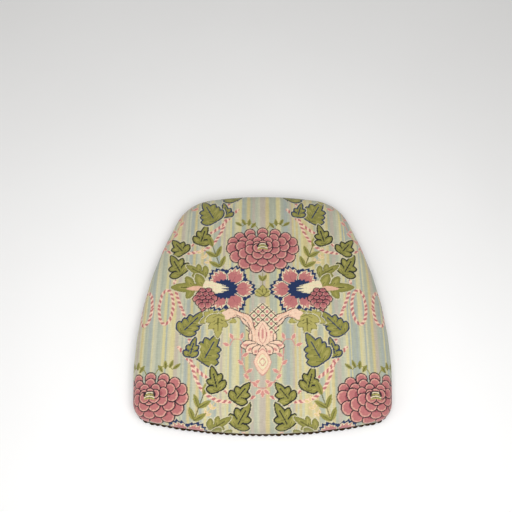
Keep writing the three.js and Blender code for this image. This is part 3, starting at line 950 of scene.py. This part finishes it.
def dome_profile(radius, height, steps=7):
    """A domed head with a small rolled rim."""
    rim = [(radius * 0.90, 0.0), (radius, 0.10 * height), (radius * 0.985, 0.22 * height)]
    dome = [(radius * 0.95 * math.cos(a), 0.22 * height + 0.78 * height * math.sin(a))
            for a in np.linspace(0.12, math.pi / 2, steps)]
    return rim + dome


def head_dent(seed):
    """How far a head is out of round at an angle, a little different for each."""
    phase = np.random.default_rng(seed).uniform(0, 2 * math.pi, 2)

    def dent(angle):
        return 0.018 * math.sin(3 * angle + phase[0]) + 0.012 * math.sin(5 * angle + phase[1])

    return dent


def nail_axes(outline):
    """For each real nail, how far along the edge it is, its head's foot and the way it faces."""
    found = []
    places = np.linspace(0, outline.length, 4001)
    edge, outward = outline.at(places)
    for name in sorted(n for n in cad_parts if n.startswith("nail_") and n != "nail_strip"):
        points = np.array([v.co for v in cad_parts[name].data.vertices])
        middle = (points.max(0) + points.min(0)) / 2
        near = int(np.argmin(((edge - middle[:2]) ** 2).sum(1)))
        out = np.array((outward[near][0], outward[near][1], 0.0))
        tip = points @ out
        crown = points[tip > tip.max() - 0.3 * CAD_HEAD_HEIGHT].mean(0)
        found.append((places[near], crown + out * (tip.max() - CAD_HEAD_HEIGHT - crown @ out), out, name))
    return sorted(found, key=lambda f: f[0])


def build_nails(axes):
    nails = []
    for index, (_, foot, out, name) in enumerate(axes):
        points, faces = [], []
        profile = dome_profile(HEAD_RADIUS, HEAD_HEIGHT)
        lathe(profile, 28, foot, out, faces, points, head_dent(index))
        nail = mesh_object("head_of_" + name, points, faces)
        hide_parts(name)
        nails.append(nail)
    return nails


def build_strip(outline, axes):
    """Pressed heads between the real nails, on a narrow ribbon of the same metal."""
    points, faces = [], []
    height = axes[0][1][2]
    fronts = np.array([a[1] for a in axes])
    places = np.array([a[0] for a in axes])
    edge, _ = outline.at(places)
    gap = np.linalg.norm(fronts[:, :2] - edge, axis=1).mean()
    for k, place in enumerate(places):
        after = places[(k + 1) % len(places)]
        bay = np.mod(after - place, outline.length)
        for step in range(1, HEADS_PER_NAIL):
            at = place + bay * step / HEADS_PER_NAIL
            (spot,), (out,) = outline.at([at])
            out = np.array((out[0], out[1], 0.0))
            foot = np.array((spot[0], spot[1], height)) - gap * out
            lathe(dome_profile(HEAD_RADIUS * 0.985, HEAD_HEIGHT * 0.92), 22, foot, out, faces, points,
                  head_dent(1000 + 10 * k + step))
    count = 700
    rims = []
    spots, outs = outline.at(np.linspace(0, outline.length, count, endpoint=False))
    for share, rise in RIBBON_SECTION:
        inset = gap - share * RIBBON_RISE
        rims.append(list(range(len(points), len(points) + count)))
        for spot, out in zip(spots, outs):
            x, y = spot - inset * out
            points.append(np.array((x, y, height + rise * RIBBON_HALF)))
    faces.extend(band_faces(rims[::-1]))
    strip = mesh_object("nail_ribbon", points, faces)
    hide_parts("nail_strip")
    return strip


# ------------------------------------------------------------------ the underside
def build_dust_cover():
    """Thin black cloth, its edge turned in, with a hole at each screw."""
    guide = surface_of("dust_cover")
    low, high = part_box("dust_cover")
    outline = Outline(guide, (low.z + high.z) / 2)
    edge, outward = outline.at(edge_places(outline, DUST_ACROSS, DUST_BACK))
    ring = edge - 0.4 * MM * outward
    grid = filled(ring - 9 * MM * outward, DUST_ACROSS, DUST_BACK).reshape(-1, 2)
    points = [np.array((x, y, high.z - 0.35 * MM + ripple(x, y))) for x, y in grid]
    rows = [grid_edge(DUST_ACROSS, DUST_BACK)]
    for inset, z in TURNED_EDGE:
        rows.append(list(range(len(points), len(points) + len(edge))))
        for (x, y), (nx, ny) in zip(ring, outward):
            points.append(np.array((x - inset * nx, y - inset * ny, z)))
    faces = [f[::-1] for f in grid_faces(DUST_ACROSS, DUST_BACK) + band_faces(rows)]
    cloth = mesh_object("dust_cloth", points, faces)
    subdivide(cloth, 1)
    cut_screw_holes(cloth)
    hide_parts("dust_cover")
    return cloth, outline


def ripple(x, y):
    slow = math.sin(31 * x + 17 * y) * math.sin(23 * y - 9 * x)
    return 0.10 * MM * slow + 0.05 * MM * math.sin(120 * x + 45 * math.sin(18 * y))


def cut_screw_holes(cloth):
    """Opens a round hole under each T-nut."""
    centres = []
    for name in (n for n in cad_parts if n.startswith("t_nut")):
        low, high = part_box(name)
        centres.append(((low.x + high.x) / 2, (low.y + high.y) / 2))
    mesh = bmesh.new()
    mesh.from_mesh(cloth.data)
    for x, y in centres:
        middles = [(f, f.calc_center_median()) for f in mesh.faces]
        inside = [f for f, middle in middles if math.hypot(middle.x - x, middle.y - y) < SCREW_HOLE]
        bmesh.ops.delete(mesh, geom=inside, context="FACES")
        for vertex in mesh.verts:
            away = math.hypot(vertex.co.x - x, vertex.co.y - y)
            if vertex.is_boundary and away < SCREW_HOLE * 1.8:
                vertex.co.x = x + (vertex.co.x - x) * SCREW_HOLE / away
                vertex.co.y = y + (vertex.co.y - y) * SCREW_HOLE / away
    mesh.to_mesh(cloth.data)
    mesh.free()


def build_staples(outline, inset, depth, name):
    """Wire staples laid along the edge, their crowns just proud of the cloth."""
    points, faces = [], []
    count = int(outline.length / STAPLE_PITCH)
    rng = np.random.default_rng(11)
    spots, outs = outline.at(np.linspace(0, outline.length, count, endpoint=False) + 3 * MM)
    for spot, out in zip(spots, outs):
        turn = rng.uniform(-0.16, 0.16)
        along = np.array((-out[1], out[0]))
        along = along * math.cos(turn) + out * math.sin(turn)
        centre = spot - (inset + rng.uniform(-0.8, 0.8) * MM) * out
        add_staple(points, faces, centre, along, depth)
    return mesh_object(name, points, faces, smooth=False)


def add_staple(points, faces, centre, along, depth):
    half = STAPLE_CROWN / 2
    wide = STAPLE_WIRE / 2
    thick = 0.45 * MM
    path = [(-half, 2.2 * MM), (-half, 0.35 * MM), (-half + 0.4 * MM, 0.0),
            (half - 0.4 * MM, 0.0), (half, 0.35 * MM), (half, 2.2 * MM)]
    side = np.array((-along[1], along[0]))
    first = len(points)
    for index, (run, rise) in enumerate(path):
        back, on = path[max(index - 1, 0)], path[min(index + 1, len(path) - 1)]
        tangent = np.array((on[0] - back[0], on[1] - back[1]))
        tangent = tangent / np.linalg.norm(tangent)
        up = np.array((-tangent[1], tangent[0])) * thick
        for lift, across in ((0, -wide), (0, wide), (1, wide), (1, -wide)):
            x, y = centre + along * (run + lift * up[0]) + side * across
            points.append(np.array((x, y, depth + rise + lift * up[1])))
    for j in range(len(path) - 1):
        for k in range(4):
            a, b = first + 4 * j + k, first + 4 * j + (k + 1) % 4
            faces.append((a, b, b + 4, a + 4))
    last = first + 4 * (len(path) - 1)
    faces.append((first + 3, first + 2, first + 1, first))
    faces.append((last, last + 1, last + 2, last + 3))


# ------------------------------------------------------------------ materials
class Look:
    """A material under construction: nodes are added by kind and wired by name."""

    def __init__(self, name, roughness, metallic=0.0):
        self.material = bpy.data.materials.new(name)
        self.material.use_nodes = True
        self.nodes = self.material.node_tree.nodes
        self.links = self.material.node_tree.links
        self.shader = self.nodes["Principled BSDF"]
        self.shader.inputs["Roughness"].default_value = roughness
        self.shader.inputs["Metallic"].default_value = metallic

    def add(self, kind, settings=(), **inputs):
        node = self.nodes.new("ShaderNode" + kind)
        for key, value in dict(settings).items():
            setattr(node, key, value)
        for key, value in inputs.items():
            self.set(node.inputs[key.replace("_", " ")], value)
        return node

    def set(self, socket, value):
        if isinstance(value, bpy.types.NodeSocket):
            self.links.new(value, socket)
        else:
            socket.default_value = value

    def math(self, operation, a, b=0.0, c=0.0):
        node = self.add("Math", {"operation": operation})
        for socket, value in zip(node.inputs, (a, b, c)):
            self.set(socket, value)
        return node.outputs[0]

    def noise(self, vector, scale, detail=2.0, roughness=0.5, stretch=None):
        if stretch is not None:
            vector = self.add("Mapping", Vector=vector, Scale=stretch).outputs[0]
        node = self.add("TexNoise", Vector=vector, Scale=scale, Detail=detail, Roughness=roughness)
        return node.outputs[0]

    def ramp(self, value, stops, interpolation="LINEAR"):
        node = self.add("ValToRGB", Fac=value)
        node.color_ramp.interpolation = interpolation
        elements = node.color_ramp.elements
        while len(elements) < len(stops):
            elements.new(0.5)
        for element, (place, color) in zip(elements, stops):
            element.position = place
            element.color = (*color, 1.0)
        return node.outputs[0]

    def mix(self, factor, a, b, blend="MIX"):
        node = self.nodes.new("ShaderNodeMix")
        node.data_type = "RGBA"
        node.blend_type = blend
        self.set(node.inputs["Factor"], factor)
        self.set(node.inputs["A"], a)
        self.set(node.inputs["B"], b)
        return node.outputs["Result"]

    def bump(self, height, strength, distance, below=None):
        node = self.add("Bump", Height=height, Strength=strength, Distance=distance)
        if below is not None:
            self.set(node.inputs["Normal"], below)
        return node.outputs[0]

    def wave(self, value, pitch):
        return self.math("SINE", self.math("MULTIPLY", value, 2 * math.pi / pitch))

    def object_place(self):
        return self.add("TexCoord").outputs["Object"]

    def use(self, color=None, normal=None, roughness=None):
        for socket, value in (("Base Color", color), ("Normal", normal), ("Roughness", roughness)):
            if value is not None:
                self.set(self.shader.inputs[socket], value)


def srgb(*color):
    return tuple(c / 12.92 if c <= 0.04045 else ((c + 0.055) / 1.055) ** 2.4 for c in color)


def tapestry():
    """Ribbed cotton and wool cloth: yarn colours, painted shade in the grooves between the threads, slubs
    and a raised figure.
    """
    look = Look("tapestry", 0.82)
    yarn = look.add("Attribute", {"attribute_name": "yarn"}).outputs["Color"]
    figure = look.add("Attribute", {"attribute_name": "figure"}).outputs["Fac"]
    place = look.add("Attribute", {"attribute_name": "cloth_mm"}).outputs["Vector"]
    axes = look.add("SeparateXYZ", Vector=place)
    across, along = axes.outputs[0], axes.outputs[1]
    wander = look.noise(place, 0.09, 2.0)
    rib = look.math("SINE", look.math("ADD", look.math("MULTIPLY", along, 2 * math.pi / THREAD),
                                      look.math("MULTIPLY", wander, 9.0)))
    warp = look.wave(across, 0.8 * THREAD)
    weave = look.math("MULTIPLY", look.math("ADD", look.math("MULTIPLY", rib, 0.6),
                                            look.math("MULTIPLY", warp, 0.4)), 0.5)
    slub_along = look.noise(place, 1.0, 2.0, 0.6, stretch=(0.55, 0.06, 1))
    slub_across = look.noise(place, 1.0, 2.0, 0.6, stretch=(0.07, 0.75, 1))
    fleck = look.noise(place, 0.85, 1.0)
    shade = look.math("MULTIPLY_ADD", slub_along, 0.34, 0.83)
    # slubs and flecks are the yarn's own tone, differing at random; the weave term is painted shade,
    # darkening the colour in the grooves between the ribs where the bump below sinks
    for grain, share, least in ((slub_across, 0.42, 0.79), (fleck, 0.30, 0.85), (weave, 0.14, 1.0)):
        shade = look.math("MULTIPLY", shade, look.math("MULTIPLY_ADD", grain, share, least))
    stitch = look.math("MULTIPLY", look.wave(along, STITCH),
                       look.math("SINE", look.math("MULTIPLY_ADD", across, 2 * math.pi / STITCH, along)))
    stitch = look.math("MULTIPLY", stitch, look.math("MULTIPLY_ADD", figure, 0.11, 0.03))
    shade = look.math("MULTIPLY", shade, look.math("ADD", stitch, 1.0))
    tone = look.add("CombineColor", Red=shade, Green=shade, Blue=shade).outputs[0]
    color = look.mix(1.0, yarn, tone, "MULTIPLY")
    worn = look.ramp(look.noise(place, 0.012, 3.0), ((0.35, (0.95, 0.94, 0.90)), (0.7, (1.0, 1.0, 1.0))))
    color = look.mix(0.7, color, worn, "MULTIPLY")
    relief = look.bump(figure, 0.5, 0.25 * MM)
    threads = look.bump(weave, 0.55, 0.22 * MM, relief)
    fuzz = look.bump(fleck, 0.25, 0.2 * MM, threads)
    look.use(color, fuzz, look.math("MULTIPLY_ADD", slub_along, 0.2, 0.72))
    look.shader.inputs["Sheen Weight"].default_value = 0.25
    look.shader.inputs["Sheen Roughness"].default_value = 0.5
    look.shader.inputs["Specular IOR Level"].default_value = 0.25
    return look.material


def aged_bronze():
    look = Look("aged_bronze", 0.5, 0.7)
    place = look.object_place()
    patina = look.noise(place, 260.0, 4.0, 0.6)
    color = look.ramp(patina, ((0.36, srgb(0.055, 0.04, 0.03)), (0.58, srgb(0.13, 0.10, 0.065)),
                               (0.74, srgb(0.27, 0.20, 0.12))))
    raised = look.add("NewGeometry").outputs["Pointiness"]
    edge = look.ramp(raised, ((0.48, (0, 0, 0)), (0.60, (1, 1, 1))))
    color = look.mix(edge, color, (*srgb(0.33, 0.25, 0.16), 1.0))
    dents = look.bump(look.noise(place, 420.0, 2.0), 0.35, 0.3 * MM)
    look.use(color, dents, look.math("MULTIPLY_ADD", patina, 0.35, 0.28))
    look.shader.inputs["Specular Tint"].default_value = (*srgb(0.55, 0.45, 0.34), 1.0)
    look.shader.inputs["Specular IOR Level"].default_value = 0.3
    return look.material


def zinc_steel():
    look = Look("zinc_steel", 0.35, 1.0)
    place = look.object_place()
    bloom = look.noise(place, 180.0, 3.0)
    color = look.ramp(bloom, ((0.3, srgb(0.62, 0.63, 0.62)), (0.7, srgb(0.78, 0.77, 0.72))))
    look.use(color, look.bump(look.noise(place, 900.0, 1.0), 0.2, 0.1 * MM),
             look.math("MULTIPLY_ADD", bloom, 0.3, 0.2))
    return look.material


def cambric():
    """Black spun-bonded cloth with a fine pressed grid."""
    look = Look("cambric", 0.9)
    place = look.object_place()
    axes = look.add("SeparateXYZ", Vector=place)
    bars = [look.wave(axes.outputs[i], CAMBRIC_GRID) for i in (0, 1)]
    grid = look.math("MULTIPLY", bars[0], bars[1])
    fibre = look.noise(place, 700.0, 3.0, 0.7, stretch=(1, 0.35, 1))
    lint = look.noise(place, 60.0, 4.0, 0.7)
    color = look.ramp(lint, ((0.35, srgb(0.085, 0.085, 0.09)), (0.75, srgb(0.17, 0.165, 0.16))))
    dark = look.ramp(fibre, ((0.4, (0.25, 0.25, 0.25)), (0.8, (1, 1, 1))))
    color = look.mix(0.35, color, dark, "MULTIPLY")
    look.use(color, look.bump(fibre, 0.3, 0.15 * MM, look.bump(grid, 0.4, 0.12 * MM)))
    look.shader.inputs["Sheen Weight"].default_value = 0.1
    return look.material


def plywood():
    look = Look("plywood", 0.6)
    place = look.object_place()
    height = look.add("SeparateXYZ", Vector=place).outputs[2]
    ply = look.math("PINGPONG", height, PLY)
    grain = look.noise(place, 1.0, 5.0, 0.6, stretch=(14, 260, 60))
    face = look.ramp(grain, ((0.3, srgb(0.66, 0.50, 0.33)), (0.5, srgb(0.79, 0.64, 0.45)),
                             (0.72, srgb(0.86, 0.73, 0.55))))
    depth = look.math("MULTIPLY", ply, 1 / PLY)
    layers = look.ramp(depth, ((0.42, (0.62, 0.55, 0.47)), (0.58, (1, 1, 1))))
    color = look.mix(0.55, face, layers, "MULTIPLY")
    look.use(color, look.bump(grain, 0.3, 0.3 * MM))
    return look.material


def cut_foam(name, dark, light, cells):
    look = Look(name, 0.95)
    place = look.object_place()
    pores = look.add("TexVoronoi", Vector=place, Scale=cells)
    color = look.ramp(look.noise(place, 35.0, 4.0), ((0.3, srgb(*dark)), (0.7, srgb(*light))))
    look.use(color, look.bump(pores.outputs["Distance"], 0.7, 0.5 * MM))
    look.shader.inputs["Subsurface Weight"].default_value = 0.1
    return look.material


def fibre_wadding():
    look = Look("wadding", 0.95)
    place = look.object_place()
    strands = look.noise(place, 160.0, 6.0, 0.75, stretch=(1, 0.3, 1))
    color = look.ramp(strands, ((0.3, srgb(0.84, 0.84, 0.82)), (0.65, srgb(0.95, 0.95, 0.94))))
    look.use(color, look.bump(strands, 0.8, 1.0 * MM))
    look.shader.inputs["Sheen Weight"].default_value = 0.3
    return look.material


def pale_floor():
    look = Look("floor", 0.7)
    place = look.object_place()
    color = look.ramp(look.noise(place, 3.0, 3.0), ((0.3, (0.91, 0.91, 0.91)), (0.7, (0.93, 0.93, 0.93))))
    look.use(color)
    look.shader.inputs["Specular IOR Level"].default_value = 0.1
    return look.material


def dress(made, look):
    made.data.materials.clear()
    made.data.materials.append(look)


# ------------------------------------------------------------------ the stage
def build_stage():
    corners = [(x * FLOOR_HALF, y * FLOOR_HALF, 0) for x, y in ((-1, -1), (1, -1), (1, 1), (-1, 1))]
    floor = mesh_object("floor", corners, [(0, 1, 2, 3)], smooth=False)
    low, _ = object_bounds()
    floor.location.z = low.z
    dress(floor, pale_floor())
    world = bpy.data.worlds.new("studio")
    world.use_nodes = True
    world.node_tree.nodes["Background"].inputs["Color"].default_value = STUDIO_COLOR
    world.node_tree.nodes["Background"].inputs["Strength"].default_value = STUDIO_LIGHT
    bpy.context.scene.world = world
    for name, place, watts, width in LAMPS:
        light = bpy.data.objects.new(name, bpy.data.lights.new(name, "AREA"))
        light.data.energy = watts
        light.data.size = width
        light.location = place
        light.rotation_euler = Vector(place).to_track_quat("Z", "Y").to_euler()
        bpy.context.scene.collection.objects.link(light)


def build_camera():
    """Looks down on the seat from the front. Its values were fitted to the photographed outline."""
    rise = math.radians(CAMERA_RISE)
    target = Vector(CAMERA_TARGET)
    camera = bpy.data.objects.new("camera", bpy.data.cameras.new("camera"))
    camera.data.lens = LENS
    camera.data.sensor_width = SENSOR
    camera.data.shift_x = CAMERA_SHIFT
    camera.location = target + Vector((0, -CAMERA_AWAY * math.cos(rise), CAMERA_AWAY * math.sin(rise)))
    camera.rotation_euler = (camera.location - target).to_track_quat("Z", "Y").to_euler()
    bpy.context.scene.collection.objects.link(camera)
    bpy.context.scene.camera = camera


# ------------------------------------------------------------------ the whole pad
cover, cover_outline, cover_cut, cover_area = build_cover()
axes = nail_axes(cover_outline)
nails = build_nails(axes)
strip = build_strip(cover_outline, axes)
dust_cloth, dust_outline = build_dust_cover()
hem_staples = build_staples(cover_outline, 25.5 * MM, 0.7 * MM, "hem_staples")
dust_staples = build_staples(dust_outline, 4.5 * MM, -0.15 * MM, "dust_cover_staples")
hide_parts("cover")

bronze = aged_bronze()
steel = zinc_steel()
dress(cover, tapestry())
dress(strip, bronze)
for nail in nails:
    dress(nail, bronze)
dress(dust_cloth, cambric())
dress(hem_staples, steel)
dress(dust_staples, steel)
for node, look in (
    ("base_board", plywood()),
    ("foam_core", cut_foam("foam", (0.80, 0.74, 0.55), (0.88, 0.84, 0.68), 900.0)),
    ("crown_foam", cut_foam("soft_foam", (0.72, 0.78, 0.82), (0.82, 0.87, 0.90), 700.0)),
    ("wadding", fibre_wadding()),
):
    dress(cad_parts[node], look)
for name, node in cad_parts.items():
    if name.startswith("t_nut"):
        dress(node, steel)

for piece in (cover, strip, dust_cloth, hem_staples, dust_staples, *nails):
    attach(piece, "root")

build_stage()
build_camera()
bpy.context.scene.view_settings.view_transform = "Standard"
